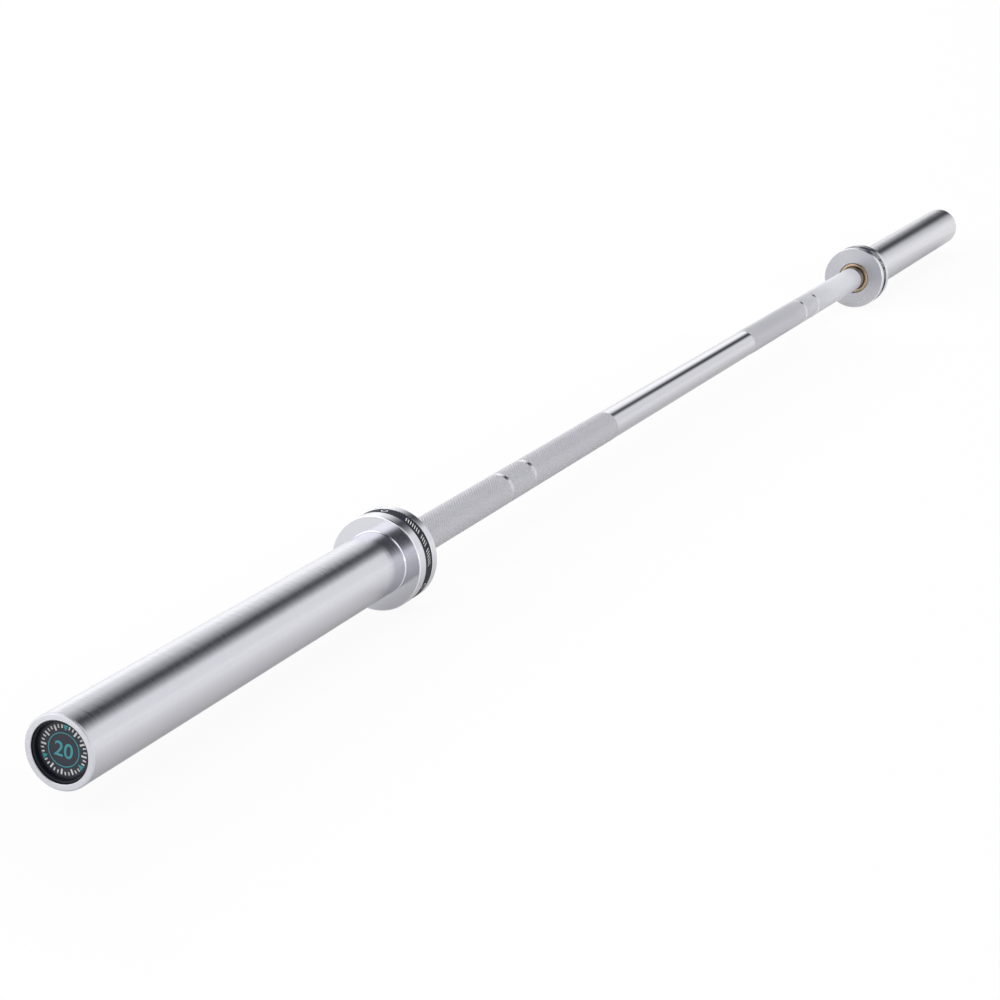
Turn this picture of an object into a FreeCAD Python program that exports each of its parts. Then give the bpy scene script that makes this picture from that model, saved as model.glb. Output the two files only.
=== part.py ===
import FreeCAD, Part
import math
import os

# Barbell for weightlifting: a knurled steel shaft with a spinning sleeve on each end.
# The bar lies along X with its middle at the origin, and Z is up. Sizes are in millimetres.

# Shaft
shaft_diameter = 28.0
shaft_chamfer = 1.5
shaft_end_setback = 1.0  # shaft's end behind the outer bushing's outer face
smooth_centre_length = 417.0  # polished middle between the two knurled grips
knurl_height = 0.2  # knurl crests above the smooth shaft
knurl_end_margin = 15.0  # smooth shaft between the knurl and each collar
mark_spacing = 910.0  # between the middles of the two outer ring marks
mark_pair_gap = 50.0  # from each outer ring mark in to the inner one
mark_width = 5.0  # smooth ring left in the knurl

# Sleeve
grip_length = 1310.0  # between the inner faces of the two collars
loading_length = 423.0  # sleeve outside its collar, where the plates go
sleeve_diameter = 50.0
sleeve_end_round = 2.5
rim_wall = 5.0  # wall round the recess in the sleeve's outer end
mouth_chamfer = 1.0
middle_bore_gap = 2.3  # air round the shaft between the two bushings
seat_step = 0.3  # sleeve turned down inside its collar, on the radius

# Collar
collar_diameter = 75.0
collar_width = 30.0
collar_web = 8.0  # solid part of the collar behind the sleeve's inner end
socket_chamfer = 0.8
collar_edge_round = 1.8
outer_land = 10.25  # bare steel between the band and the plates' side
inner_land = 8.25  # bare steel between the band and the grip's side
band_thickness = 1.3
band_setback = 0.2  # band below the collar's surface, so that the bar lies on steel

# Bushings and thrust washers
inner_bushing_wall = 4.7
inner_bushing_length = 40.0
bushing_setback = 0.4  # inner bushing behind the collar's inner face
bushing_mouth_chamfer = 1.25
outer_bushing_length = 30.0
washer_thickness = 2.0

# Snap rings
shaft_ring_thickness = 1.5
shaft_groove_depth = 0.7
bore_ring_thickness = 1.75
bore_groove_depth = 1.25
ring_band_share = 0.42  # of the space between shaft and sleeve that a ring's band fills
ring_lug_share = 0.72  # of the same space that a ring's lugs fill
ring_opening = 6.0
ring_lug_width = 5.0
ring_hole_share = 0.4  # plier hole's diameter over the lug's height

# End cap and its label
cap_setback = 1.2  # cap's lip behind the sleeve's end
cap_recess = 5.5  # cap's face behind the sleeve's end
cap_wall = 1.6
cap_floor = 3.0
cap_skirt = 6.5  # hollow plug behind the cap's floor
cap_lip_round = 0.5
cap_to_ring = 1.0
label_thickness = 0.4
label_edge_gap = 0.4

# Clearances
running_gap = 0.05  # between the shaft and a bushing, on the radius
seat_gap = 0.05  # between a seated piece and its seat
washer_bore_gap = 0.1
washer_edge_gap = 0.5
end_play = 0.3  # on each side of the thrust washers

# Radii worked out from the sizes above
shaft_radius = shaft_diameter / 2
knurl_radius = shaft_radius + knurl_height
shaft_groove_radius = shaft_radius - shaft_groove_depth
sleeve_radius = sleeve_diameter / 2
recess_radius = sleeve_radius - rim_wall
bore_groove_radius = recess_radius + bore_groove_depth
ring_space = recess_radius - shaft_radius
middle_bore_radius = shaft_radius + middle_bore_gap
bushing_bore_radius = shaft_radius + running_gap
inner_bushing_radius = bushing_bore_radius + inner_bushing_wall
bushing_seat_radius = inner_bushing_radius + seat_gap
sleeve_seat_radius = sleeve_radius - seat_step
socket_radius = sleeve_seat_radius + seat_gap
collar_radius = collar_diameter / 2
band_radius = collar_radius - band_setback
band_bore_radius = band_radius - band_thickness
band_seat_radius = band_bore_radius - seat_gap
cap_radius = recess_radius - seat_gap
cap_cup_radius = cap_radius - cap_wall
label_radius = cap_cup_radius - label_edge_gap

# Places along the bar, measured from its middle, on the side where X is positive
collar_in = grip_length / 2
collar_out = collar_in + collar_width
sleeve_end = collar_out + loading_length
socket_in = collar_in + collar_web
band_in = collar_in + inner_land
band_out = collar_out - outer_land
inner_bushing_in = collar_in + bushing_setback
inner_bushing_out = inner_bushing_in + inner_bushing_length
inner_seat_out = inner_bushing_out + seat_gap
cap_out = sleeve_end - cap_setback
cap_face = sleeve_end - cap_recess
cap_floor_in = cap_face - cap_floor
cap_in = cap_floor_in - cap_skirt
bore_ring_out = cap_in - cap_to_ring
bore_ring_in = bore_ring_out - bore_ring_thickness
outer_bushing_out = bore_ring_in - seat_gap
outer_bushing_in = outer_bushing_out - outer_bushing_length
outer_washer_out = outer_bushing_in - end_play
shaft_ring_out = outer_washer_out - washer_thickness
shaft_ring_in = shaft_ring_out - shaft_ring_thickness
inner_washer_in = shaft_ring_in - washer_thickness
shoulder = inner_washer_in - end_play
shaft_end = outer_bushing_out - shaft_end_setback
outer_mark = mark_spacing / 2
knurl_in = smooth_centre_length / 2
knurl_out = collar_in - knurl_end_margin

ORIGIN = FreeCAD.Vector(0, 0, 0)
ALONG = FreeCAD.Vector(1, 0, 0)
UP = FreeCAD.Vector(0, 0, 1)
ARC_MIDDLE = 1 - math.sqrt(0.5)  # how far a fillet's middle lies from its square corner


def turned(corners):
    """Solid turned about X from (along, radius) corners; a third number fillets a square corner."""
    points = [FreeCAD.Vector(corner[0], 0, corner[1]) for corner in corners]
    entries = []
    exits = []
    arcs = []
    for index, corner in enumerate(corners):
        fillet = corner[2] if len(corner) > 2 else 0
        point = points[index]
        back = (points[index - 1] - point).normalize()
        ahead = (points[(index + 1) % len(points)] - point).normalize()
        entries.append(point + back * fillet)
        exits.append(point + ahead * fillet)
        middle = point + (back + ahead) * fillet * ARC_MIDDLE
        arcs.append(Part.Arc(entries[-1], middle, exits[-1]).toShape() if fillet else None)
    edges = []
    for index, arc in enumerate(arcs):
        if arc:
            edges.append(arc)
        following = entries[(index + 1) % len(entries)]
        edges.append(Part.LineSegment(exits[index], following).toShape())
    return Part.Face(Part.Wire(edges)).revolve(ORIGIN, ALONG, 360)


def ring(inner_radius, outer_radius, start, end):
    """Plain ring about X."""
    return turned([(start, inner_radius), (start, outer_radius), (end, outer_radius), (end, inner_radius)])


def shaft():
    """One bar: smooth middle and ends, knurled grips, ring marks and a groove for each snap ring."""
    half = [(knurl_in, shaft_radius), (knurl_in, knurl_radius)]
    for middle in (outer_mark - mark_pair_gap, outer_mark):
        mark_in = middle - mark_width / 2
        mark_out = middle + mark_width / 2
        half += [(mark_in, knurl_radius), (mark_in, shaft_radius)]
        half += [(mark_out, shaft_radius), (mark_out, knurl_radius)]
    half += [(knurl_out, knurl_radius), (knurl_out, shaft_radius)]
    groove_in = shaft_ring_in - seat_gap
    groove_out = shaft_ring_out + seat_gap
    half += [(groove_in, shaft_radius), (groove_in, shaft_groove_radius)]
    half += [(groove_out, shaft_groove_radius), (groove_out, shaft_radius)]
    half += [(shaft_end - shaft_chamfer, shaft_radius), (shaft_end, shaft_radius - shaft_chamfer)]
    half += [(shaft_end, 0)]
    mirrored = [(-along, radius) for along, radius in reversed(half)]
    return turned(mirrored + half)


def sleeve_tube():
    """Loading cylinder with a seat for the collar and for each bushing, and a snap ring groove."""
    groove_in = bore_ring_in - seat_gap
    groove_out = bore_ring_out + seat_gap
    return turned([
        (socket_in, bushing_seat_radius),
        (socket_in, sleeve_seat_radius),
        (collar_out, sleeve_seat_radius),
        (collar_out, sleeve_radius),
        (sleeve_end, sleeve_radius, sleeve_end_round),
        (sleeve_end, recess_radius + mouth_chamfer),
        (sleeve_end - mouth_chamfer, recess_radius),
        (groove_out, recess_radius),
        (groove_out, bore_groove_radius),
        (groove_in, bore_groove_radius),
        (groove_in, recess_radius),
        (shoulder, recess_radius),
        (shoulder, middle_bore_radius),
        (inner_seat_out, middle_bore_radius),
        (inner_seat_out, bushing_seat_radius),
    ])


def collar():
    """Ring that stops the plates, pressed on the sleeve's inner end, with a groove for its band."""
    return turned([
        (collar_in, bushing_seat_radius),
        (collar_in, collar_radius, collar_edge_round),
        (band_in, collar_radius),
        (band_in, band_seat_radius),
        (band_out, band_seat_radius),
        (band_out, collar_radius),
        (collar_out, collar_radius, collar_edge_round),
        (collar_out, socket_radius + socket_chamfer),
        (collar_out - socket_chamfer, socket_radius),
        (socket_in, socket_radius),
        (socket_in, bushing_seat_radius),
    ])


def collar_band():
    """Black ring in the collar's groove."""
    return ring(band_bore_radius, band_radius, band_in + seat_gap, band_out - seat_gap)


def inner_bushing():
    """Bronze bushing at the collar, with a wide mouth round the shaft."""
    return turned([
        (inner_bushing_in, bushing_bore_radius + bushing_mouth_chamfer),
        (inner_bushing_in, inner_bushing_radius),
        (inner_bushing_out, inner_bushing_radius),
        (inner_bushing_out, bushing_bore_radius),
        (inner_bushing_in + bushing_mouth_chamfer, bushing_bore_radius),
    ])


def outer_bushing():
    """Bronze bushing at the sleeve's outer end."""
    return ring(bushing_bore_radius, recess_radius - seat_gap, outer_bushing_in, outer_bushing_out)


def thrust_washer(start):
    """Flat washer beside the shaft's snap ring."""
    inner_radius = shaft_radius + washer_bore_gap
    outer_radius = recess_radius - washer_edge_gap
    return ring(inner_radius, outer_radius, start, start + washer_thickness)


def snap_ring(inner_radius, outer_radius, lug_inner, lug_outer, start, thickness):
    """Open spring ring with two drilled lugs beside its opening, at the top."""
    reach = max(outer_radius, lug_outer) + ring_lug_width
    half_opening = ring_opening / 2
    lug_span = ring_opening + 2 * ring_lug_width
    lug_box = Part.makeBox(thickness, lug_span, reach, FreeCAD.Vector(start, -lug_span / 2, 0))
    lugs = ring(lug_inner, lug_outer, start, start + thickness).common(lug_box)
    body = ring(inner_radius, outer_radius, start, start + thickness).fuse(lugs)
    opening = Part.makeBox(thickness, ring_opening, reach, FreeCAD.Vector(start, -half_opening, 0))
    body = body.cut(opening)
    hole_radius = ring_hole_share * (lug_outer - lug_inner) / 2
    hole_side = half_opening + ring_lug_width / 2
    hole_up = math.sqrt(((lug_inner + lug_outer) / 2) ** 2 - hole_side ** 2)
    for side in (-1, 1):
        centre = FreeCAD.Vector(start, side * hole_side, hole_up)
        body = body.cut(Part.makeCylinder(hole_radius, thickness, centre, ALONG))
    return body.removeSplitter()


def shaft_snap_ring():
    """Ring in the shaft's groove, between the two thrust washers, that keeps the sleeve on."""
    inner_radius = shaft_groove_radius + seat_gap
    outer_radius = shaft_radius + ring_band_share * ring_space
    lug_outer = shaft_radius + ring_lug_share * ring_space
    return snap_ring(inner_radius, outer_radius, inner_radius, lug_outer, shaft_ring_in, shaft_ring_thickness)


def bore_snap_ring():
    """Ring in the sleeve's bore that keeps the outer bushing in."""
    outer_radius = bore_groove_radius - seat_gap
    inner_radius = recess_radius - ring_band_share * ring_space
    lug_inner = recess_radius - ring_lug_share * ring_space
    return snap_ring(inner_radius, outer_radius, lug_inner, outer_radius, bore_ring_in, bore_ring_thickness)


def end_cap():
    """Plastic plug in the sleeve's recess: a shallow cup in front and a hollow skirt behind."""
    return turned([
        (cap_in, cap_cup_radius),
        (cap_in, cap_radius),
        (cap_out, cap_radius, cap_lip_round),
        (cap_out, cap_cup_radius, cap_lip_round),
        (cap_face, cap_cup_radius),
        (cap_face, 0),
        (cap_floor_in, 0),
        (cap_floor_in, cap_cup_radius),
    ])


def cap_label():
    """Thin round label on the cap's face."""
    return Part.makeCylinder(label_radius, label_thickness, FreeCAD.Vector(cap_face, 0, 0), ALONG)


def sleeve_pieces():
    """Every piece of one end of the bar, by name, on the side where X is positive."""
    return {
        "sleeve_tube": sleeve_tube(),
        "collar": collar(),
        "collar_band": collar_band(),
        "inner_bushing": inner_bushing(),
        "outer_bushing": outer_bushing(),
        "inner_thrust_washer": thrust_washer(inner_washer_in),
        "outer_thrust_washer": thrust_washer(shaft_ring_out),
        "shaft_snap_ring": shaft_snap_ring(),
        "bore_snap_ring": bore_snap_ring(),
        "end_cap": end_cap(),
        "cap_label": cap_label(),
    }


def main():
    """Build the shaft and both ends, and write one file for each piece."""
    os.makedirs("parts", exist_ok=True)
    pieces = {"shaft": shaft()}
    for name, piece in sleeve_pieces().items():
        pieces["right_" + name] = piece
        pieces["left_" + name] = piece.rotated(ORIGIN, UP, 180)
    for name, piece in pieces.items():
        piece.exportStep("parts/" + name + ".step")
        print(name, len(piece.Solids), piece.isValid(), round(piece.Volume, 1))


main()
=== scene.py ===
import math
from functools import partial
from typing import NamedTuple

import bmesh
import bpy
import numpy as np
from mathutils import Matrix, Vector

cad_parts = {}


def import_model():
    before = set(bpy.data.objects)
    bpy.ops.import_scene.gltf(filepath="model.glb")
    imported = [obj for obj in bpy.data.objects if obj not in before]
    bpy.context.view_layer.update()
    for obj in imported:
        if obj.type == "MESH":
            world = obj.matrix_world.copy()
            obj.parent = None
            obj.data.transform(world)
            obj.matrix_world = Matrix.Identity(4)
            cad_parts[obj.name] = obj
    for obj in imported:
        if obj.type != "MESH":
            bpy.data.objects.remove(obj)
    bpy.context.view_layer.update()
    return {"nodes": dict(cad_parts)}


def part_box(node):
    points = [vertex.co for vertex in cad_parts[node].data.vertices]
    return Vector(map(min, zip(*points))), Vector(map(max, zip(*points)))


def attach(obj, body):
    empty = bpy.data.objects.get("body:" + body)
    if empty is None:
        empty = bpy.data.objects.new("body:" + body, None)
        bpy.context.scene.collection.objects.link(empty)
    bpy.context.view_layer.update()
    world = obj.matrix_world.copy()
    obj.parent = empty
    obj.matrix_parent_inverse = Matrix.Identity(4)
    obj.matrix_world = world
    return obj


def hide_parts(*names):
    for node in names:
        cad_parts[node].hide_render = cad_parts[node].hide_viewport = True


# Barbell for weightlifting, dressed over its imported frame. Sizes are in metres and the bar lies along X.
# Every turned piece is a fine mesh of revolution on the place and size of its frame node, the grips carry
# a cut diamond knurl, and the end caps and collar bands carry plain marks.

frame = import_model()

# Shaft
SHAFT_RADIUS = 0.0140
SHAFT_CHAMFER = 0.0015
SMOOTH_CENTRE = 0.417  # polished middle between the two grips
KNURL_MARGIN = 0.015  # smooth shaft between the knurl and each collar
KNURL_STARTS = 36  # diamonds round the shaft
KNURL_STRETCH = 1.73  # a diamond's length over its width
KNURL_VALLEY = 0.01388  # radius at the bottom of the knurl
MARK_PLACES = (0.405, 0.455)  # ring marks, from the bar's middle
MARK_WIDTH = 0.005
SHAFT_GROOVE_RADIUS = 0.0133
GROOVE_GAP = 0.00005  # beside a snap ring in its groove

# Sleeve
SLEEVE_END_ROUND = 0.0014
RIM_ROUND = 0.0003
MOUTH_CHAMFER = 0.0004
RECESS_RADIUS = 0.0204
MIDDLE_BORE_RADIUS = 0.0163
BUSHING_SEAT_RADIUS = 0.0188
SLEEVE_SEAT_RADIUS = 0.0247
SHOULDER_ROUND = 0.0001
WASHER_CLEARANCE = 0.0003  # between the bore's shoulder and the inner washer

# Collar and band
COLLAR_EDGE_ROUND = 0.0009
EDGE_TOLERANCE = 0.00005
EDGE_LEAN = 0.05  # faces of the collar's edges lean at least this much towards its ends
ROOT_BEAD = 0.0007  # small cone where the sleeve enters the collar's face
BAND_LIP_ROUND = 0.0003
BAND_SEAT_RADIUS = 0.03595
BAND_BORE_RADIUS = 0.0360
BAND_EDGE_ROUND = 0.0003
SOCKET_RADIUS = 0.02475
SEAT_GAP = 0.00005

# Bushing, cap and label
BUSHING_BORE_RADIUS = 0.01405
BUSHING_MOUTH = 0.0007  # counterbore round the shaft
BUSHING_MOUTH_DEPTH = 0.0040
BUSHING_LIP_ROUND = 0.0007
BUSHING_EDGE_ROUND = 0.0024
BUSHING_PROUD = 0.0007  # its crowned face stands this much further out than its frame node
CAP_WALL = 0.0016
CAP_SINK = 0.0003  # the lip lies this much deeper than its frame node
CAP_FLOOR = 0.003
CAP_LIP_ROUND = 0.0006
CAP_INNER_ROUND = 0.0006
LABEL_EDGE_ROUND = 0.0002

# Marks are thin plates of ink, let a little into the label or the band
INK_HEIGHT = 0.00004
INK_SUNK = 0.00003

# Marks on the label
TICK_STEP = 10  # degrees
LONG_TICK_STEP = 30
TICK_OUT = 0.0163
TICK_IN = 0.0141
LONG_TICK_IN = 0.0126
TICK_WIDTH = 0.00090
LONG_TICK_WIDTH = 0.00120
POINTER_STEP = 120
POINTER_WIDTH = 0.0040
RING_RADIUS = 0.0106
RING_WIDTH = 0.0006
RING_STEPS = 120
NUMBER = "20"
NUMBER_HEIGHT = 0.0096
NUMBER_STROKE = 0.00012  # added all round the plain figures
FONT_HEIGHT = 0.7  # a figure's height over the text size
DIAL_TURN = -9  # degrees

# Marks on the band
DASH_STEP = 3.4  # degrees round the band
DASH_GROUPS = 3
DASH_RUNS = (-9, -8, -7, -6, -5, -4, -3, -1, 0, 1, 2, 4, 5, 6, 7, 8, 9)  # steps from the group's middle
DASH_LENGTH = 0.0048
DASH_WIDTH = 0.0008
DASH_SLANT = 0.0018
BAND_TURN = 30  # degrees
OVAL_RADII = (0.0027, 0.0020)  # of the rings between the groups
OVAL_STEPS = 32

# Fineness of the meshes
ROUND_STEPS = 256
FILLET_STEPS = 6
SHARP_ANGLE = math.radians(38)
FLAT_WEIGHT = 100  # how far large faces decide the shading beside them
WELD_DISTANCE = 1e-7

SIDES = {"left": -1, "right": 1}


def span(node):
    """A turned node's inner end, outer end and radius, measured from the bar's middle and axis."""
    low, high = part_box(node)
    ends = sorted((abs(low.x), abs(high.x)))
    return ends[0], ends[1], max(-low.y, -low.z, high.y, high.z)


COLLAR_IN, COLLAR_OUT, COLLAR_RADIUS = span("right_collar")
SLEEVE_IN, SLEEVE_OUT, SLEEVE_RADIUS = span("right_sleeve_tube")
BAND_IN, BAND_OUT, BAND_RADIUS = span("right_collar_band")
BUSHING_IN, BUSHING_OUT, BUSHING_RADIUS = span("right_inner_bushing")
BORE_RING_IN, BORE_RING_OUT, BORE_RING_RADIUS = span("right_bore_snap_ring")
LABEL_IN, LABEL_OUT, LABEL_RADIUS = span("right_cap_label")
SHAFT_RING_IN, SHAFT_RING_OUT, _ = span("right_shaft_snap_ring")
CAP_IN, CAP_OUT, _ = span("right_end_cap")
WASHER_IN, _, _ = span("right_inner_thrust_washer")
_, SHAFT_END, KNURL_RADIUS = span("shaft")
KNURL_IN = SMOOTH_CENTRE / 2
KNURL_OUT = COLLAR_IN - KNURL_MARGIN
FLOOR_HEIGHT = -COLLAR_RADIUS


# Materials

CHROME_BLUE = 1.07  # blue in the chrome's grey, over its red and green
FADED_SHARE = 0.86  # of an ink's colour, where it is thin
METAL = 1.0
NOISE_RANGE = (0.3, 0.7)  # where most of a noise's values lie
QUARTER_TURN = 0.25
UNSTRETCHED = (1, 1, 1)


def grey(level):
    """The cool grey of chrome."""
    return (level, level, level * CHROME_BLUE)


class Grained(NamedTuple):
    """A material whose colour and roughness vary over a cloud, with a fine grain in relief."""
    colours: tuple
    roughness: tuple
    cloud: tuple  # scale and detail
    grain: tuple
    depth: float  # of the grain
    strength: float
    metallic: float = 0.0
    specular: float = 0.5


def printed(colour):
    """An ink, which is thin in places."""
    faded = tuple(channel * FADED_SHARE for channel in colour)
    return Grained(
        colours=(faded, colour), roughness=(0.42, 0.58),
        cloud=(900.0, 4.0), grain=(900.0, 4.0), depth=0.00001, strength=0.3)


GRAINED = {
    "knurled_chrome": Grained(  # a little duller than the polished middle
        colours=(grey(0.60), grey(0.64)), roughness=(0.38, 0.48),
        cloud=(25.0, 4.0), grain=(3000.0, 2.0), depth=0.00001, strength=0.5, metallic=0.5),
    "oiled_bronze": Grained(  # sintered, with pores, and darker where oil sits
        colours=((0.43, 0.33, 0.22), (0.52, 0.40, 0.27)), roughness=(0.20, 0.32),
        cloud=(120.0, 4.0), grain=(2500.0, 2.0), depth=0.00002, strength=0.5, metallic=METAL),
    "mouth_painted_shade": Grained(  # painted shade: near black in the shadowed mouth of a bushing
        colours=((0.030, 0.026, 0.020), (0.055, 0.048, 0.038)), roughness=(0.45, 0.65),
        cloud=(400.0, 3.0), grain=(400.0, 3.0), depth=0.00002, strength=0.4),
    "black_rubber": Grained(
        colours=((0.012, 0.0145, 0.026), (0.017, 0.0195, 0.031)), roughness=(0.52, 0.66),
        cloud=(90.0, 5.0), grain=(2200.0, 3.0), depth=0.00002, strength=0.5, specular=0.3),
    "black_plastic": Grained(
        colours=((0.0055, 0.0063, 0.0125), (0.008, 0.0089, 0.016)), roughness=(0.40, 0.52),
        cloud=(150.0, 3.0), grain=(3200.0, 2.0), depth=0.00002, strength=0.4, specular=0.3),
    "label_vinyl": Grained(
        colours=((0.019, 0.0235, 0.039), (0.025, 0.0295, 0.045)), roughness=(0.46, 0.58),
        cloud=(130.0, 4.0), grain=(2600.0, 3.0), depth=0.00001, strength=0.35),
    "white_ink": printed((0.80, 0.80, 0.79)),
    "teal_ink": printed((0.050, 0.352, 0.392)),
}


class Satin(NamedTuple):
    """A turned satin chrome."""
    level: float  # its grey
    rough: float
    grain: float  # how far its reflections are drawn out across the lathe lines
    band: float  # how far its roughness varies along the bar
    wear: float = 0.0  # streaks where plates have slid along it
    flutter: float = 0.0  # depth of its shallow waves
    graze: float = 1.0  # share of its brightness that it keeps where it is seen edge on


SATINS = {
    "sleeve_satin": Satin(level=0.70, rough=0.19, grain=0.4, band=0.05, wear=0.012, flutter=0.00013),
    "sleeve_rim": Satin(level=0.74, rough=0.48, grain=0.3, band=0.02, graze=0.65),
    "collar_satin": Satin(level=0.72, rough=0.11, grain=0.2, band=0.01),
    "collar_inner_face": Satin(level=0.54, rough=0.30, grain=0.5, band=0.02),
    # painted highlight: the collar's edges get a grey far brighter than the chrome beside them
    "collar_edge_painted_highlight": Satin(level=0.92, rough=0.12, grain=0.2, band=0.01),
    "shaft_ends": Satin(level=0.62, rough=0.24, grain=0.5, band=0.02),
}
SATIN_LINES = 3500.0  # per metre
SATIN_BANDS = 420.0
SATIN_STREAKS = (60.0, 3.0, (0.06, 3, 3))  # scale, detail and stretch
SATIN_SMUDGE = (14.0, 4.0)
SATIN_FLUTTER = (250.0, 2.0, (1, 0.25, 0.25))
SATIN_GREY_RANGE = 0.015  # either way
SATIN_ROUGH_RANGE = 0.02
SATIN_LINE_DEPTH = 0.000003
SATIN_LINE_STRENGTH = 0.35

POLISHED_GREYS = (0.63, 0.66)
POLISHED_ROUGHNESS = (0.06, 0.11)
POLISHED_SMUDGE = (18.0, 4.0, (0.5, 1, 1))
POLISHED_LINES = 5000.0
POLISHED_DEPTH = 0.000002

STEELS = {"washer_steel": (0.55, 0.30), "spring_steel": (0.16, 0.38)}  # grey and roughness
STEEL_LINES = 2500.0
STEEL_CLOUD = (80.0, 4.0)
STEEL_GREY_RANGE = (0.9, 1.1)  # share of its grey
STEEL_ROUGH_RANGE = 0.06
STEEL_DEPTH = 0.000005

LINE_DETAIL = 2.0
LINE_STRENGTH = 0.4


def add_node(tree, kind, inputs=None, **settings):
    """A node with its settings, and its inputs set or linked by name or number."""
    made = tree.nodes.new(kind)
    for name, value in settings.items():
        setattr(made, name, value)
    for key, value in (inputs or {}).items():
        if isinstance(value, bpy.types.NodeSocket):
            tree.links.new(value, made.inputs[key])
        else:
            made.inputs[key].default_value = value
    return made


def math_node(tree, operation, *values):
    """The result of an operation on numbers."""
    return add_node(tree, "ShaderNodeMath", dict(enumerate(values)), operation=operation).outputs[0]


class Surface:
    """A material with one principled shader, and short ways to add the nodes that feed it."""

    def __init__(self, name, metallic):
        self.material = bpy.data.materials.new(name)
        self.material.use_nodes = True
        self.tree = self.material.node_tree
        self.shader = self.tree.nodes["Principled BSDF"]
        self.set("Metallic", metallic)
        self.place = self.node("ShaderNodeTexCoord").outputs["Object"]

    def set(self, socket, value):
        """Set a socket of the shader, or feed it from another node."""
        if isinstance(value, bpy.types.NodeSocket):
            self.tree.links.new(value, self.shader.inputs[socket])
        else:
            self.shader.inputs[socket].default_value = value

    def node(self, kind, inputs=None, **settings):
        """A node in this material."""
        return add_node(self.tree, kind, inputs, **settings)

    def noise(self, scale, detail, stretch=UNSTRETCHED):
        """Cloudy noise over the piece, stretched along its axes."""
        place = self.node("ShaderNodeMapping", {"Vector": self.place, "Scale": stretch}).outputs[0]
        return self.node("ShaderNodeTexNoise", {"Vector": place, "Scale": scale, "Detail": detail}).outputs[0]

    def turned_lines(self, per_metre):
        """Fine lines round the bar's axis, on faces and cylinders alike, as a lathe leaves them."""
        parts = self.node("ShaderNodeSeparateXYZ", {"Vector": self.place}).outputs
        flat = self.node("ShaderNodeCombineXYZ", {"Y": parts["Y"], "Z": parts["Z"]}).outputs[0]
        radius = self.node("ShaderNodeVectorMath", {0: flat}, operation="LENGTH").outputs["Value"]
        reach = self.sum(parts["X"], radius)
        lines = self.node("ShaderNodeTexNoise", {"W": reach, "Scale": per_metre, "Detail": LINE_DETAIL},
                          noise_dimensions="1D")
        return lines.outputs[0]

    def between(self, factor, low, high):
        """A number that runs from low to high as the noise runs over the middle of its range."""
        mapped = self.node("ShaderNodeMapRange", {
            "Value": factor, "From Min": NOISE_RANGE[0], "From Max": NOISE_RANGE[1],
            "To Min": low, "To Max": high})
        return mapped.outputs[0]

    def blend(self, factor, first, second):
        """A colour between two."""
        mixed = self.node("ShaderNodeMix", {"Factor": factor}, data_type="RGBA")
        ends = [socket for socket in mixed.inputs if socket.type == "RGBA"]
        for socket, colour in zip(ends, (first, second)):
            socket.default_value = (*colour, 1.0)
        return next(socket for socket in mixed.outputs if socket.type == "RGBA")

    def sum(self, first, second):
        """Two numbers added."""
        return math_node(self.tree, "ADD", first, second)

    def turned_grain(self, strength):
        """Reflections drawn out across the fine lines that a lathe leaves round the bar's axis."""
        around = self.node("ShaderNodeTangent", direction_type="RADIAL", axis="X")
        self.set("Tangent", around.outputs[0])
        self.set("Anisotropic", strength)
        self.set("Anisotropic Rotation", QUARTER_TURN)

    def bump(self, height, depth, strength=1.0):
        """Small relief of that depth in metres, on top of any relief set before."""
        relief = self.node("ShaderNodeBump", {"Height": height, "Distance": depth, "Strength": strength})
        for link in self.shader.inputs["Normal"].links:
            self.tree.links.new(link.from_socket, relief.inputs["Normal"])
        self.set("Normal", relief.outputs[0])


def grained(name):
    """One of the grained materials."""
    finish = GRAINED[name]
    surface = Surface(name, finish.metallic)
    cloud = surface.noise(*finish.cloud)
    surface.set("Base Color", surface.blend(cloud, *finish.colours))
    surface.set("Roughness", surface.between(cloud, *finish.roughness))
    surface.set("Specular IOR Level", finish.specular)
    surface.bump(surface.noise(*finish.grain), finish.depth, finish.strength)
    return surface.material


def satin_chrome(name):
    """One of the satin chromes, with lathe lines and faint wear."""
    finish = SATINS[name]
    surface = Surface(name, METAL)
    lines = surface.turned_lines(SATIN_LINES)
    bands = surface.turned_lines(SATIN_BANDS)
    streaks = surface.noise(*SATIN_STREAKS)
    smudge = surface.noise(*SATIN_SMUDGE)
    greys = (grey(finish.level - SATIN_GREY_RANGE), grey(finish.level + SATIN_GREY_RANGE))
    surface.set("Base Color", surface.blend(smudge, *greys))
    roughness = surface.between(bands, finish.rough - finish.band, finish.rough + finish.band)
    for factor, change in ((lines, SATIN_ROUGH_RANGE), (smudge, SATIN_ROUGH_RANGE), (streaks, finish.wear)):
        roughness = surface.sum(roughness, surface.between(factor, -change, change))
    surface.set("Roughness", roughness)
    surface.turned_grain(finish.grain)
    surface.set("Specular Tint", (finish.graze, finish.graze, finish.graze, 1.0))
    surface.bump(lines, SATIN_LINE_DEPTH, SATIN_LINE_STRENGTH)
    surface.bump(surface.noise(*SATIN_FLUTTER), finish.flutter)
    return surface.material


def polished_chrome():
    """Bright chrome of the bar's middle and ring marks: near mirror, with faint wipe marks."""
    surface = Surface("polished_chrome", METAL)
    smudge = surface.noise(*POLISHED_SMUDGE)
    surface.set("Base Color", surface.blend(smudge, *(grey(level) for level in POLISHED_GREYS)))
    surface.set("Roughness", surface.between(smudge, *POLISHED_ROUGHNESS))
    surface.bump(surface.turned_lines(POLISHED_LINES), POLISHED_DEPTH, LINE_STRENGTH)
    return surface.material


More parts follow.
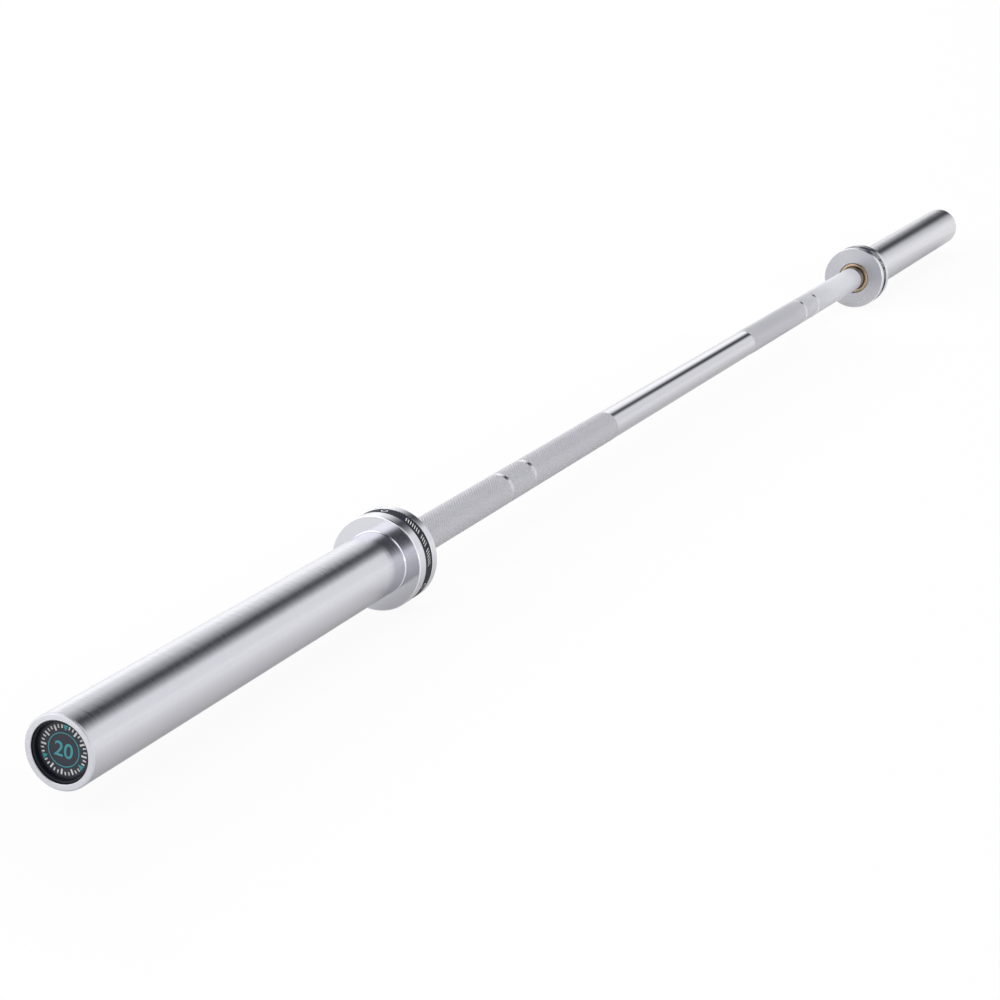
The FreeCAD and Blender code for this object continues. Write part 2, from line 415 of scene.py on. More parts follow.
def ground_steel(name):
    """Plain ground or blackened steel of the washers and snap rings inside the sleeves."""
    level, rough = STEELS[name]
    surface = Surface(name, METAL)
    lines = surface.turned_lines(STEEL_LINES)
    cloud = surface.noise(*STEEL_CLOUD)
    surface.set("Base Color", surface.blend(cloud, *(grey(level * share) for share in STEEL_GREY_RANGE)))
    surface.set("Roughness", surface.between(lines, rough - STEEL_ROUGH_RANGE, rough + STEEL_ROUGH_RANGE))
    surface.bump(lines, STEEL_DEPTH, LINE_STRENGTH)
    return surface.material


# Meshes

def add_object(name, data):
    """A new object in the scene."""
    thing = bpy.data.objects.new(name, data)
    bpy.context.scene.collection.objects.link(thing)
    return thing


def outline(corners):
    """Points along (along, radius, fillet) corners, with an arc at each corner that has a fillet."""
    points = []
    count = len(corners)
    for index, (along, radius, fillet) in enumerate(corners):
        corner = Vector((along, radius))
        if not fillet:
            points.append(corner)
            continue
        back = (Vector(corners[index - 1][:2]) - corner).normalized()
        ahead = (Vector(corners[(index + 1) % count][:2]) - corner).normalized()
        half = back.angle(ahead) / 2
        centre = corner + (back + ahead).normalized() * (fillet / math.sin(half))
        start = corner + back * (fillet / math.tan(half)) - centre
        end = corner + ahead * (fillet / math.tan(half)) - centre
        turn = math.pi - 2 * half
        for step in range(FILLET_STEPS + 1):
            share = step / FILLET_STEPS
            arm = start * math.sin((1 - share) * turn) + end * math.sin(share * turn)
            points.append(centre + arm / math.sin(turn))
    return points


def recalculate(mesh, weld=False):
    """Turn a mesh's faces outwards, after joining points that lie together where asked."""
    work = bmesh.new()
    work.from_mesh(mesh)
    if weld:
        bmesh.ops.remove_doubles(work, verts=work.verts, dist=WELD_DISTANCE)
    bmesh.ops.recalc_face_normals(work, faces=work.faces)
    work.to_mesh(mesh)
    work.free()


def new_piece(name, vertices, faces, body, slot, materials, weld=False):
    """An object that rides on a body of the frame, with its materials; the slot argument is not used."""
    mesh = bpy.data.meshes.new(name)
    mesh.from_pydata(vertices, [], faces)
    recalculate(mesh, weld)
    for material in materials:
        mesh.materials.append(material)
    piece = add_object(name, mesh)
    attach(piece, body)
    return piece


def soften(piece):
    """Smooth shading that keeps flat faces flat beside their rounded edges."""
    piece.data.shade_smooth()
    piece.data.set_sharp_from_angle(angle=SHARP_ANGLE)
    normals = piece.modifiers.new("flat_faces", "WEIGHTED_NORMAL")
    normals.keep_sharp = True
    normals.weight = FLAT_WEIGHT


def turned_mesh(points, side, closed):
    """Vertices and faces of an outline turned about the bar; a point on the axis is a pole."""
    vertices = []
    rings = []
    for point in points:
        count = ROUND_STEPS if point.y > 0 else 1
        first = len(vertices)
        rings.append([first + step for step in range(count)])
        for step in range(count):
            angle = 2 * math.pi * step / ROUND_STEPS
            vertices.append((side * point.x, point.y * math.cos(angle), point.y * math.sin(angle)))
    faces = []
    pairs = list(zip(rings, rings[1:]))
    if closed:
        pairs.append((rings[-1], rings[0]))
    for ring, other in pairs:
        for step in range(ROUND_STEPS):
            following = (step + 1) % ROUND_STEPS
            corners = [ring[step % len(ring)], ring[following % len(ring)],
                       other[following % len(other)], other[step % len(other)]]
            face = list(dict.fromkeys(corners))
            if len(face) > 2:
                faces.append(face)
    return vertices, faces


def lathe(name, corners, side_name, node, slot, materials, closed=True):
    """A turned piece that stands for one frame node of a sleeve."""
    vertices, faces = turned_mesh(outline(corners), SIDES[side_name], closed)
    piece = new_piece(side_name + "_" + name, vertices, faces, side_name + "_sleeve", slot, materials)
    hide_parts(side_name + "_" + node)
    soften(piece)
    return piece


# Shaft with its knurled grips

POLISHED, KNURLED, GROUND = range(3)  # the shaft's materials, in order


def plain(along, radius=SHAFT_RADIUS, finish=GROUND):
    """One ring of the shaft's grid with an even radius, and the finish of the stretch outside it."""
    return along, np.full(2 * KNURL_STARTS, radius), finish


def knurled_stretch(start, end):
    """Rings of a knurled stretch: crests and valleys alternate round the shaft and along it."""
    pitch = 2 * math.pi * KNURL_RADIUS / KNURL_STARTS
    rows = 2 * round((end - start) / (pitch * KNURL_STRETCH))
    rings = [plain(start, finish=KNURLED)]
    for row in range(1, rows):
        crest = (np.arange(2 * KNURL_STARTS) + row) % 2 == 1
        radii = np.where(crest, KNURL_RADIUS, KNURL_VALLEY)
        rings.append((start + (end - start) * row / rows, radii, KNURLED))
    return rings


def shaft_rings():
    """Every ring of the shaft's grid from its middle to its end on one side."""
    rings = []
    edges = [KNURL_IN]
    for place in MARK_PLACES:
        edges += [place - MARK_WIDTH / 2, place + MARK_WIDTH / 2]
    edges.append(KNURL_OUT)
    for start, end in zip(edges[::2], edges[1::2]):
        rings += knurled_stretch(start, end)
        rings.append(plain(end, finish=GROUND if end == KNURL_OUT else POLISHED))
    groove_in = SHAFT_RING_IN - GROOVE_GAP
    groove_out = SHAFT_RING_OUT + GROOVE_GAP
    rings += [plain(groove_in), plain(groove_in, SHAFT_GROOVE_RADIUS)]
    rings += [plain(groove_out, SHAFT_GROOVE_RADIUS), plain(groove_out)]
    rings += [plain(SHAFT_END - SHAFT_CHAMFER), plain(SHAFT_END, SHAFT_RADIUS - SHAFT_CHAMFER)]
    return rings


def cell_faces(corners, radii, finish):
    """The faces of one cell of the shaft's grid: whole, or on the knurl cut along its lower diagonal."""
    if finish != KNURLED:
        return [corners]
    first, second, third, fourth = corners
    if radii[0] + radii[2] <= radii[1] + radii[3]:
        return [[first, second, third], [first, third, fourth]]
    return [[first, second, fourth], [second, third, fourth]]


def shaft(materials):
    """The whole shaft as one mesh: polished middle, knurled grips with ring marks, and ground ends."""
    half = shaft_rings()
    rings = [(-along, radii) for along, radii, _ in reversed(half)]
    rings += [(along, radii) for along, radii, _ in half]
    outward = [finish for _, _, finish in half[:-1]]
    finishes = [*reversed(outward), POLISHED, *outward]
    around = 2 * KNURL_STARTS
    angles = 2 * np.pi * np.arange(around) / around
    vertices = []
    for along, radii in rings:
        vertices += zip(np.full(around, along), radii * np.cos(angles), radii * np.sin(angles))
    heights = np.concatenate([radii for _, radii in rings])
    faces = [list(reversed(range(around))), [len(vertices) - around + step for step in range(around)]]
    face_finishes = [GROUND, GROUND]
    for row, finish in enumerate(finishes):
        for step in range(around):
            after = (step + 1) % around
            corners = [row * around + step, row * around + after,
                       (row + 1) * around + after, (row + 1) * around + step]
            cell = cell_faces(corners, heights[corners], finish)
            faces += cell
            face_finishes += [finish] * len(cell)
    piece = new_piece("shaft_bar", vertices, faces, "shaft", "shaft_chrome", materials)
    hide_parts("shaft")
    mesh = piece.data
    mesh.polygons.foreach_set("material_index", np.array(face_finishes, dtype=np.int32))
    mesh.set_sharp_from_angle(angle=SHARP_ANGLE)
    mesh.polygons.foreach_set("use_smooth", np.array(face_finishes) != KNURLED)


# Pieces of one sleeve

LENGTH, RIM = range(2)  # the sleeve's materials, in order
BODY, INNER_FACE, EDGE = range(3)  # the collar's; its edge faces carry a painted highlight
BRONZE, MOUTH = range(2)  # the bushing's


def sleeve_tube(side_name, materials):
    """The sleeve; its end has a duller finish than its length."""
    groove_in = BORE_RING_IN - GROOVE_GAP
    groove_out = BORE_RING_OUT + GROOVE_GAP
    groove_radius = BORE_RING_RADIUS + SEAT_GAP
    shoulder = WASHER_IN - WASHER_CLEARANCE
    seat_end = BUSHING_OUT + SEAT_GAP
    corners = [
        (SLEEVE_IN, BUSHING_SEAT_RADIUS, 0),
        (SLEEVE_IN, SLEEVE_SEAT_RADIUS, 0),
        (COLLAR_OUT, SLEEVE_SEAT_RADIUS, 0),
        (COLLAR_OUT, SLEEVE_RADIUS, SHOULDER_ROUND),
        (SLEEVE_OUT, SLEEVE_RADIUS, SLEEVE_END_ROUND),
        (SLEEVE_OUT, RECESS_RADIUS + MOUTH_CHAMFER, RIM_ROUND),
        (SLEEVE_OUT - MOUTH_CHAMFER, RECESS_RADIUS, RIM_ROUND),
        (groove_out, RECESS_RADIUS, 0),
        (groove_out, groove_radius, 0),
        (groove_in, groove_radius, 0),
        (groove_in, RECESS_RADIUS, 0),
        (shoulder, RECESS_RADIUS, 0),
        (shoulder, MIDDLE_BORE_RADIUS, 0),
        (seat_end, MIDDLE_BORE_RADIUS, 0),
        (seat_end, BUSHING_SEAT_RADIUS, 0),
    ]
    piece = lathe("sleeve", corners, side_name, "sleeve_tube", "sleeve_chrome", materials)
    for face in piece.data.polygons:
        face.material_index = RIM if abs(face.center.x) > SLEEVE_OUT - SLEEVE_END_ROUND else LENGTH


def collar(side_name, materials):
    """The collar; its inner face, towards the grip, is duller than the rest, and its edges carry a painted
    highlight in a brighter grey.
    """
    band_in = BAND_IN - SEAT_GAP
    band_out = BAND_OUT + SEAT_GAP
    mouth_radius = SLEEVE_RADIUS + SEAT_GAP
    corners = [
        (COLLAR_IN, BUSHING_SEAT_RADIUS, BAND_LIP_ROUND),
        (COLLAR_IN, COLLAR_RADIUS, COLLAR_EDGE_ROUND),
        (band_in, COLLAR_RADIUS, BAND_LIP_ROUND),
        (band_in, BAND_SEAT_RADIUS, 0),
        (band_out, BAND_SEAT_RADIUS, 0),
        (band_out, COLLAR_RADIUS, BAND_LIP_ROUND),
        (COLLAR_OUT, COLLAR_RADIUS, COLLAR_EDGE_ROUND),
        (COLLAR_OUT, mouth_radius + ROOT_BEAD, 0),
        (COLLAR_OUT + ROOT_BEAD, mouth_radius, 0),
        (COLLAR_OUT - SHOULDER_ROUND, mouth_radius, 0),
        (COLLAR_OUT - SHOULDER_ROUND, SOCKET_RADIUS, 0),
        (SLEEVE_IN, SOCKET_RADIUS, 0),
        (SLEEVE_IN, BUSHING_SEAT_RADIUS, 0),
    ]
    piece = lathe("plate_collar", corners, side_name, "collar", "collar_chrome", materials)
    # the edge faces, with the root bead, take the painted highlight
    for face in piece.data.polygons:
        along = abs(face.center.x)
        near_rim = face.center.yz.length > COLLAR_RADIUS - COLLAR_EDGE_ROUND
        if along < COLLAR_IN + EDGE_TOLERANCE:
            face.material_index = INNER_FACE
        elif along > COLLAR_OUT + EDGE_TOLERANCE or (near_rim and abs(face.normal.x) > EDGE_LEAN):
            face.material_index = EDGE
        else:
            face.material_index = BODY


def collar_band(side_name, material):
    """The black band in the collar's groove."""
    corners = [
        (BAND_IN, BAND_BORE_RADIUS, 0),
        (BAND_IN, BAND_RADIUS, BAND_EDGE_ROUND),
        (BAND_OUT, BAND_RADIUS, BAND_EDGE_ROUND),
        (BAND_OUT, BAND_BORE_RADIUS, 0),
    ]
    lathe("black_band", corners, side_name, "collar_band", "band_black", [material])


def inner_bushing(side_name, materials):
    """The bushing seen round the shaft, with a crowned face and a mouth in near-black painted shade."""
    crown = BUSHING_IN - BUSHING_PROUD
    mouth_end = BUSHING_IN + BUSHING_MOUTH_DEPTH
    mouth_radius = BUSHING_BORE_RADIUS + BUSHING_MOUTH
    corners = [
        (crown, mouth_radius, BUSHING_LIP_ROUND),
        (crown, BUSHING_RADIUS, BUSHING_EDGE_ROUND),
        (BUSHING_OUT, BUSHING_RADIUS, 0),
        (BUSHING_OUT, BUSHING_BORE_RADIUS, 0),
        (mouth_end, BUSHING_BORE_RADIUS, 0),
        (mouth_end, mouth_radius, 0),
    ]
    piece = lathe("bronze_bushing", corners, side_name, "inner_bushing", "bronze", materials)
    for face in piece.data.polygons:
        # the mouth's faces take the painted shade
        face.material_index = MOUTH if face.center.yz.length < mouth_radius else BRONZE


def end_cap(side_name, material):
    """The cup-shaped cap in the sleeve's end; its outline starts and ends on the axis."""
    cap_radius = RECESS_RADIUS - SEAT_GAP
    cup_radius = cap_radius - CAP_WALL
    floor_in = LABEL_IN - CAP_FLOOR
    lip = CAP_OUT - CAP_SINK
    corners = [
        (LABEL_IN, 0, 0),
        (LABEL_IN, cup_radius, CAP_INNER_ROUND),
        (lip, cup_radius, CAP_LIP_ROUND),
        (lip, cap_radius, CAP_LIP_ROUND),
        (CAP_IN, cap_radius, 0),
        (CAP_IN, cup_radius, 0),
        (floor_in, cup_radius, 0),
        (floor_in, 0, 0),
    ]
    lathe("plug", corners, side_name, "end_cap", "cap_plastic", [material], closed=False)


def cap_label(side_name, material):
    """The round label on the cap's floor."""
    corners = [
        (LABEL_IN, 0, 0),
        (LABEL_IN, LABEL_RADIUS, 0),
        (LABEL_OUT, LABEL_RADIUS, LABEL_EDGE_ROUND),
        (LABEL_OUT, 0, 0),
    ]
    lathe("dial", corners, side_name, "cap_label", "label_print", [material], closed=False)


# Plain marks on the label and the band

def label_point(side, across, up, lift):
    """A point on the label's face as someone facing that end sees it."""
    return side * (LABEL_OUT + lift), side * across, up


def band_point(side, along, around, lift):
    """A point on the band: along it from its middle, and round it by a length on its surface."""
    angle = around / BAND_RADIUS
    radius = BAND_RADIUS + lift
    middle = (BAND_IN + BAND_OUT) / 2
    return side * (middle + along), radius * math.cos(angle), radius * math.sin(angle)


def plates(outlines, place):
    """Thin closed plates: each outline is a flat loop, and place puts it on its surface at a height."""
    vertices = []
    faces = []
    for loop in outlines:
        count = len(loop)
        first = len(vertices)
        for lift in (-INK_SUNK, INK_HEIGHT):
            vertices += [place(across, up, lift) for across, up in loop]
        faces.append([first + index for index in reversed(range(count))])
        faces.append([first + count + index for index in range(count)])
        for index in range(count):
            after = (index + 1) % count
            faces.append([first + index, first + after, first + count + after, first + count + index])
    return vertices, faces


def polar(radius, turn):
    """A flat point at that radius and angle."""
    return radius * math.cos(turn), radius * math.sin(turn)


def turned_loop(loop, degrees):
    """A flat loop turned about the label's middle."""
    across, up = polar(1, math.radians(degrees))
    return [(x * across - y * up, x * up + y * across) for x, y in loop]


def tick(inner, outer, width):
    """One upright tick at the top of the dial."""
    return [(-width / 2, inner), (width / 2, inner), (width / 2, outer), (-width / 2, outer)]


def pointer():
    """A three-cornered mark at the top of the dial, which points inwards."""
    half = POINTER_WIDTH / 2
    return [(0, LONG_TICK_IN), (half, TICK_OUT), (-half, TICK_OUT)]


def ring_loops(first_radius, other_radius, steps):
    """A thin flat ring, as small four-cornered plates."""
    loops = []
    for step in range(steps):
        start, end = (2 * math.pi * (step + share) / steps for share in (0, 1))
        loops.append([polar(first_radius, start), polar(other_radius, start),
                      polar(other_radius, end), polar(first_radius, end)])
    return loops


def dial_marks(side_name, white, teal):
    """White ticks round the label, with three teal pointers among them and a teal ring inside."""
    place = partial(label_point, SIDES[side_name])
    white_loops = []
    teal_loops = ring_loops(RING_RADIUS, RING_RADIUS + RING_WIDTH, RING_STEPS)
    for degrees in range(0, 360, TICK_STEP):
        turn = degrees + DIAL_TURN
        if degrees % POINTER_STEP == 0:
            teal_loops.append(turned_loop(pointer(), turn))
        elif degrees % LONG_TICK_STEP == 0:
            white_loops.append(turned_loop(tick(LONG_TICK_IN, TICK_OUT, LONG_TICK_WIDTH), turn))
        else:
            white_loops.append(turned_loop(tick(TICK_IN, TICK_OUT, TICK_WIDTH), turn))
    for name, loops, material in (("_dial_ticks", white_loops, white), ("_dial_pointers", teal_loops, teal)):
        new_piece(side_name + name, *plates(loops, place), side_name + "_sleeve", "label_print", [material])


def number_mesh():
    """The dial's plain figures, as a flat mesh as thick as the ink."""
    text = bpy.data.curves.new("number", "FONT")
    text.body = NUMBER
    text.size = NUMBER_HEIGHT / FONT_HEIGHT
    text.align_x = "CENTER"
    text.align_y = "CENTER"
    text.extrude = (INK_HEIGHT + INK_SUNK) / 2
    text.offset = NUMBER_STROKE
    holder = add_object("number_text", text)
    bpy.context.view_layer.update()
    mesh = bpy.data.meshes.new_from_object(holder.evaluated_get(bpy.context.evaluated_depsgraph_get()))
    bpy.data.objects.remove(holder)
    return mesh


def dial_number(side_name, material):
    """A plain number in the middle of the dial."""
    mesh = number_mesh()
    corners = np.array([vertex.co for vertex in mesh.vertices])
    faces = [list(polygon.vertices) for polygon in mesh.polygons]
    bpy.data.meshes.remove(mesh)
    middle = (corners.min(axis=0) + corners.max(axis=0)) / 2
    lift = (INK_HEIGHT - INK_SUNK) / 2
    flat = turned_loop([(x - middle[0], y - middle[1]) for x, y, _ in corners], DIAL_TURN)
    place = partial(label_point, SIDES[side_name])
    vertices = [place(x, y, corner[2] + lift) for (x, y), corner in zip(flat, corners)]
    new_piece(side_name + "_dial_number", vertices, faces, side_name + "_sleeve", "label_print", [material],
              weld=True)


def band_marks(side_name, white):
    """Groups of slanted dashes round the band, with a ring between the groups."""
    step = math.radians(DASH_STEP) * BAND_RADIUS
    group_step = 2 * math.pi * BAND_RADIUS / DASH_GROUPS
    half = DASH_LENGTH / 2
    slant = DASH_SLANT / 2
    width = DASH_WIDTH / 2
    loops = []
    for group in range(DASH_GROUPS):
        start = math.radians(BAND_TURN) * BAND_RADIUS + group * group_step
        for run in DASH_RUNS:
            around = start + run * step
            loops.append([(-half, around - slant - width), (half, around + slant - width),
                          (half, around + slant + width), (-half, around - slant + width)])
        middle = start + group_step / 2
        for loop in ring_loops(*OVAL_RADII, OVAL_STEPS):
            loops.append([(along, middle + around) for along, around in loop])
    place = partial(band_point, SIDES[side_name])
    new_piece(side_name + "_band_dashes", *plates(loops, place), side_name + "_sleeve", "band_black", [white])


def dress_hidden(side_name, bronze, washers, springs):
    """Materials for the frame's own pieces inside each sleeve."""
    finishes = {"outer_bushing": bronze, "inner_thrust_washer": washers, "outer_thrust_washer": washers,
                "shaft_snap_ring": springs, "bore_snap_ring": springs}
    for node, material in finishes.items():
        mesh = frame["nodes"][side_name + "_" + node].data
        mesh.materials.clear()
        mesh.materials.append(material)


# Stage: floor, boards, lamps, world and camera

WHITE = (1.0, 1.0, 1.0, 1.0)
FLOOR_SIZE = 120.0
FLOOR_PAINTED_SHADE_GREYS = (0.56, 0.82)  # painted shadow under the bar, and the open floor's grey
FLOOR_PAINTED_SHADE_REACH = 0.20  # how far the painted shadow reaches, from the bar to the open floor's grey
FLOOR_ROUGHNESS = 0.4
FLOOR_GLOW = {"Is Camera Ray": 0.94, "Is Glossy Ray": 0.24, "Is Transmission Ray": 0.24}
WORLD_GLOW = {"Is Camera Ray": 1.0, "Is Glossy Ray": 1.0, "Is Transmission Ray": 1.0}
WORLD_LIGHT = 0.5

# The board over the bar has a dark stripe between a bright front and a bright back. Each row sets, at one
# place along the bar: the stripe's front edge and its softness, its back edge and its softness, the level
# behind it, and how much paler the stripe is beside its back edge.
BOARD_HEIGHT = 2.2
BOARD_REACH = (40.0, 10.0)
BOARD_BEND = 6.0  # from here back the board slopes down to the floor
BOARD_STEPS = (0.25, 0.1)
BOARD_STOPS = (
    (-9.5, -5.00, 1.80, 0.95, 0.60, 1.50, 0.00),
    (-3.6, -1.90, 0.60, 0.95, 0.60, 1.50, 0.00),
    (-2.2, -1.00, 0.60, 0.40, 0.60, 1.30, 0.00),
    (0.0, -1.00, 0.60, 0.40, 0.60, 1.30, 0.00),
    (1.7, -1.80, 1.30, 1.25, 1.00, 0.90, 0.30),
    (2.7, -1.62, 1.50, 0.95, 0.90, 0.82, 0.22),
    (3.6, -1.40, 1.40, 0.55, 0.75, 0.88, 0.00),
    (4.6, -1.00, 0.80, 0.32, 0.70, 1.12, 0.00),
    (5.5, -0.95, 0.60, 0.50, 0.72, 1.22, 0.00),
    (6.4, -0.95, 0.60, 0.62, 0.72, 1.32, 0.00),
    (7.5, -0.92, 0.80, 0.75, 0.75, 1.26, 0.00),
    (8.3, -0.92, 1.00, 1.50, 0.75, 1.26, 0.00),
    (9.0, -1.00, 1.00, 2.05, 0.90, 1.28, 0.00),
    (9.6, -1.10, 1.10, 2.25, 0.85, 1.22, 0.00),
    (11.3, -1.45, 1.50, 2.30, 1.00, 1.10, 0.00),
    (15.2, -2.20, 2.00, 3.60, 1.60, 1.00, 0.00),
    (22.0, -2.20, 2.00, 3.60, 1.60, 0.85, 0.00),
)
FRONT_LEVEL = 0.93
STRIPE_LEVEL = 0.07
STRIPE_TINT = (0.0, 0.002, 0.010)  # the stripe's bluish cast
GREY_EDGE = 0.10  # where the paler part of the stripe starts
GREY_SOFTNESS = 0.45

# The upright board off the bar's near end
END_BOARD_PLACE = (-3.5, -8.0)
END_BOARD_REACH = 2.5  # half its length
END_BOARD_HEIGHT = 1.0
END_BOARD_LEVEL = 1.7

SUNS = {  # strength, where it comes from, and its width in degrees
    "back_sun": (1.3, (-0.40, 0.62, 0.68), 50),
    "top_sun": (1.2, (-0.10, -0.05, 0.99), 45),
}
FAR_LAMP_PLACE = (0.57, -0.55, 1.20)
FAR_LAMP_AIM = (0.57, 0.0, 0.0)
FAR_LAMP_POWER = 62.0
FAR_LAMP_RADIUS = 0.10
FAR_LAMP_CONE = 11.0  # degrees
FAR_LAMP_SOFTNESS = 0.4

CAMERA_PLACE = (-2.2097, -0.7732, 0.5232)
CAMERA_FORWARD = (0.8821, 0.3878, -0.2672)
CAMERA_LENS = 84.77  # millimetres
CAMERA_SENSOR = 36.0


def stage_object(name, vertices, faces):
    """A mesh that belongs to the stage."""
    mesh = bpy.data.meshes.new(name)
    mesh.from_pydata(vertices, [], faces)
    thing = add_object(name, mesh)
    return thing


def plane(name, xs, ys, height):
    """A level grid of points, as a stage object."""
    columns = len(ys)
    vertices = [(x, y, height) for x in xs for y in ys]
    faces = []
    for row in range(len(xs) - 1):
        for column in range(columns - 1):
            first = row * columns + column
            faces.append((first, first + columns, first + columns + 1, first + 1))
    return stage_object(name, vertices, faces)


def bare_material(thing, name):
    """A material with an empty tree for a stage object, and the socket that takes its shader."""
    material = bpy.data.materials.new(name)
    material.use_nodes = True
    tree = material.node_tree
    tree.nodes.remove(tree.nodes["Principled BSDF"])
    thing.data.materials.append(material)
    return tree, tree.nodes["Material Output"].inputs["Surface"]


def mix_by_path(tree, glow, lit, even, surface):
    """Show each kind of ray its share of an even white, and the lit shader for the rest."""
    path = add_node(tree, "ShaderNodeLightPath").outputs
    total = 0.0
    for kind, share in glow.items():
        total = math_node(tree, "MULTIPLY_ADD", path[kind], share, total)
    mixed = add_node(tree, "ShaderNodeMixShader", {0: total, 1: lit.outputs[0], 2: even.outputs[0]})
    tree.links.new(mixed.outputs[0], surface)


def floor_grey_with_painted_shade(tree):
    """The floor's grey, darkened close to the bar as a painted shadow under it."""
    place = add_node(tree, "ShaderNodeTexCoord").outputs["Object"]
    parts = add_node(tree, "ShaderNodeSeparateXYZ", {0: place}).outputs
    beside = math_node(tree, "ABSOLUTE", parts["Y"])
    beyond = math_node(tree, "SUBTRACT", math_node(tree, "ABSOLUTE", parts["X"]), SLEEVE_OUT)
    away = math_node(tree, "MAXIMUM", beside, beyond)
    # painted shadow: the grey is darkest beside the bar and rises to the open floor's grey
    level = add_node(tree, "ShaderNodeMapRange", {
        "Value": away, "From Max": FLOOR_PAINTED_SHADE_REACH, "To Min": FLOOR_PAINTED_SHADE_GREYS[0], "To Max": FLOOR_PAINTED_SHADE_GREYS[1]})
    return level.outputs[0]


def floor():
    """A wide pale floor that the camera sees as white, with the bar's shadow on it and a painted shadow in
    its grey near the bar.
    """
    reach = FLOOR_SIZE / 2
    ground = plane("floor", (-reach, reach), (-reach, reach), FLOOR_HEIGHT)
    tree, surface = bare_material(ground, "pale_floor")
    lit = add_node(tree, "ShaderNodeBsdfPrincipled",
                   {"Base Color": floor_grey_with_painted_shade(tree), "Roughness": FLOOR_ROUGHNESS})
    mix_by_path(tree, FLOOR_GLOW, lit, add_node(tree, "ShaderNodeEmission"), surface)


def smooth_step(value):
    """Runs from 0 to 1 as the value runs from -1 to 1."""
    share = np.clip((value + 1) / 2, 0, 1)
    return share * share * (3 - 2 * share)


def board_level(points):
    """Brightness of the board at its points: a dark stripe along the bar between two bright sides."""
    across = points[:, 1]
    stops, *rows = np.array(BOARD_STOPS).T
    front, front_soft, back, back_soft, level, paler = (np.interp(points[:, 0], stops, row) for row in rows)
    ahead = smooth_step((front - across) / front_soft)
    behind = smooth_step((across - back) / back_soft)
    beside = smooth_step((across - GREY_EDGE) / GREY_SOFTNESS) * (1 - behind)
    bright = (FRONT_LEVEL - STRIPE_LEVEL) * ahead + (level - STRIPE_LEVEL) * behind
    return STRIPE_LEVEL + bright + paler * beside


def reflected_only(board):
    """Hide a board from all but reflections."""
    board.visible_camera = False
    board.visible_diffuse = False
    board.visible_shadow = False


def light_board():
    """A wide board over the bar that only reflections see: it draws the dark line along the chrome."""
    xs, ys = (np.arange(-reach, reach + step / 2, step) for reach, step in zip(BOARD_REACH, BOARD_STEPS))
    board = plane("light_board", xs, ys, BOARD_HEIGHT)
    reflected_only(board)
    points = np.array([vertex.co for vertex in board.data.vertices])
    slope = np.clip((points[:, 1] - BOARD_BEND) / (BOARD_REACH[1] - BOARD_BEND), 0, 1)
    points[:, 2] += (FLOOR_HEIGHT - BOARD_HEIGHT) * slope
    board.data.vertices.foreach_set("co", points.ravel())
    colours = np.tile(np.array(WHITE, dtype=np.float32), (len(points), 1))
    colours[:, :3] = board_level(points)[:, np.newaxis] + np.array(STRIPE_TINT)
    shades = board.data.attributes.new("shade", "FLOAT_COLOR", "POINT")
    shades.data.foreach_set("color", colours.ravel())
    tree, surface = bare_material(board, "board_light")
    shade = add_node(tree, "ShaderNodeAttribute", attribute_name="shade")
    even = add_node(tree, "ShaderNodeEmission", {"Color": shade.outputs["Color"]})
    tree.links.new(even.outputs[0], surface)


def end_board():
    """An upright lit board off the bar's near end, which only reflections see: it draws bright edges."""
    reach = Vector((END_BOARD_REACH, -END_BOARD_REACH))
    left = Vector(END_BOARD_PLACE) - reach
    right = Vector(END_BOARD_PLACE) + reach
    corners = [(*left, FLOOR_HEIGHT), (*right, FLOOR_HEIGHT),
               (*right, END_BOARD_HEIGHT), (*left, END_BOARD_HEIGHT)]
    board = stage_object("end_board", corners, [(0, 1, 2, 3)])
    reflected_only(board)
    tree, surface = bare_material(board, "end_light")
    even = add_node(tree, "ShaderNodeEmission", {"Strength": END_BOARD_LEVEL})
    tree.links.new(even.outputs[0], surface)


def suns():
    """Soft lamps, so wide that shadows have no hard edge."""
    for name, (strength, source, width) in SUNS.items():
        lamp = bpy.data.lights.new(name, "SUN")
        lamp.energy = strength
        lamp.angle = math.radians(width)
        holder = add_object(name, lamp)
        holder.rotation_euler = Vector(source).to_track_quat("Z", "Y").to_euler()
        holder.visible_glossy = False


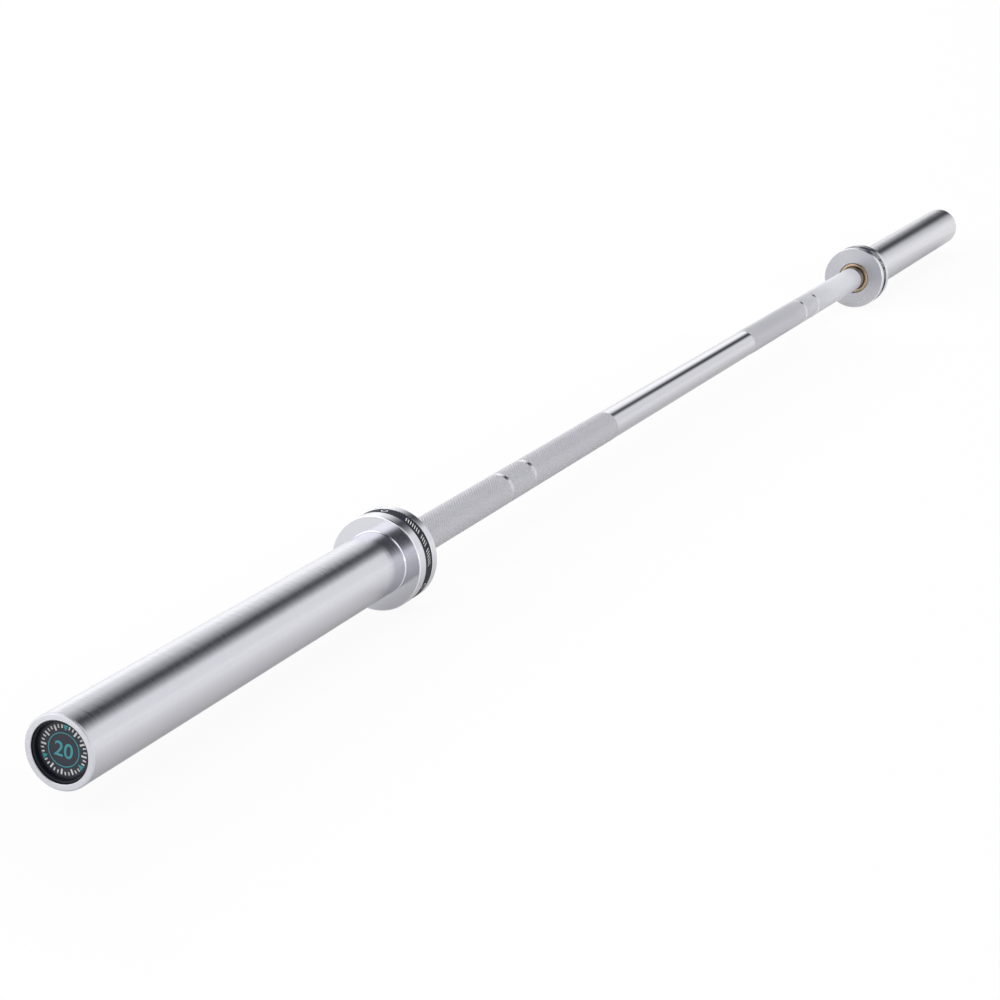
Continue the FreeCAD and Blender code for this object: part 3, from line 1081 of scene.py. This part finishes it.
def far_lamp():
    """A soft lamp over the far grip's end."""
    lamp = bpy.data.lights.new("far_lamp", "SPOT")
    lamp.energy = FAR_LAMP_POWER
    lamp.shadow_soft_size = FAR_LAMP_RADIUS
    lamp.spot_size = math.radians(FAR_LAMP_CONE)
    lamp.spot_blend = FAR_LAMP_SOFTNESS
    holder = add_object("far_lamp", lamp)
    holder.location = FAR_LAMP_PLACE
    aim = Vector(FAR_LAMP_AIM) - Vector(FAR_LAMP_PLACE)
    holder.rotation_euler = aim.to_track_quat("-Z", "Y").to_euler()
    holder.visible_glossy = False
    holder.visible_camera = False


def world():
    """A white room that lights the bar softly."""
    sky = bpy.data.worlds.new("studio")
    sky.use_nodes = True
    bpy.context.scene.world = sky
    tree = sky.node_tree
    tree.nodes.remove(tree.nodes["Background"])
    lit = add_node(tree, "ShaderNodeBackground", {"Color": WHITE, "Strength": WORLD_LIGHT})
    even = add_node(tree, "ShaderNodeBackground", {"Color": WHITE})
    mix_by_path(tree, WORLD_GLOW, lit, even, tree.nodes["World Output"].inputs["Surface"])


def camera():
    """The photograph's viewpoint."""
    data = bpy.data.cameras.new("camera")
    data.sensor_width = CAMERA_SENSOR
    data.lens = CAMERA_LENS
    holder = add_object("camera", data)
    holder.location = CAMERA_PLACE
    holder.rotation_euler = Vector(CAMERA_FORWARD).to_track_quat("-Z", "Y").to_euler()
    bpy.context.scene.camera = holder


def main():
    """Dress the bar and set the stage."""
    finish = {name: grained(name) for name in GRAINED}
    finish.update({name: satin_chrome(name) for name in SATINS})
    finish.update({name: ground_steel(name) for name in STEELS})
    shaft([polished_chrome(), finish["knurled_chrome"], finish["shaft_ends"]])
    for side_name in SIDES:
        sleeve_tube(side_name, [finish["sleeve_satin"], finish["sleeve_rim"]])
        collar(side_name, [finish["collar_satin"], finish["collar_inner_face"], finish["collar_edge_painted_highlight"]])
        collar_band(side_name, finish["black_rubber"])
        inner_bushing(side_name, [finish["oiled_bronze"], finish["mouth_painted_shade"]])
        end_cap(side_name, finish["black_plastic"])
        cap_label(side_name, finish["label_vinyl"])
        dial_marks(side_name, finish["white_ink"], finish["teal_ink"])
        dial_number(side_name, finish["teal_ink"])
        band_marks(side_name, finish["white_ink"])
        dress_hidden(side_name, finish["oiled_bronze"], finish["washer_steel"], finish["spring_steel"])
    floor()
    light_board()
    end_board()
    suns()
    far_lamp()
    world()
    camera()
    bpy.context.scene.view_settings.view_transform = "Standard"


main()
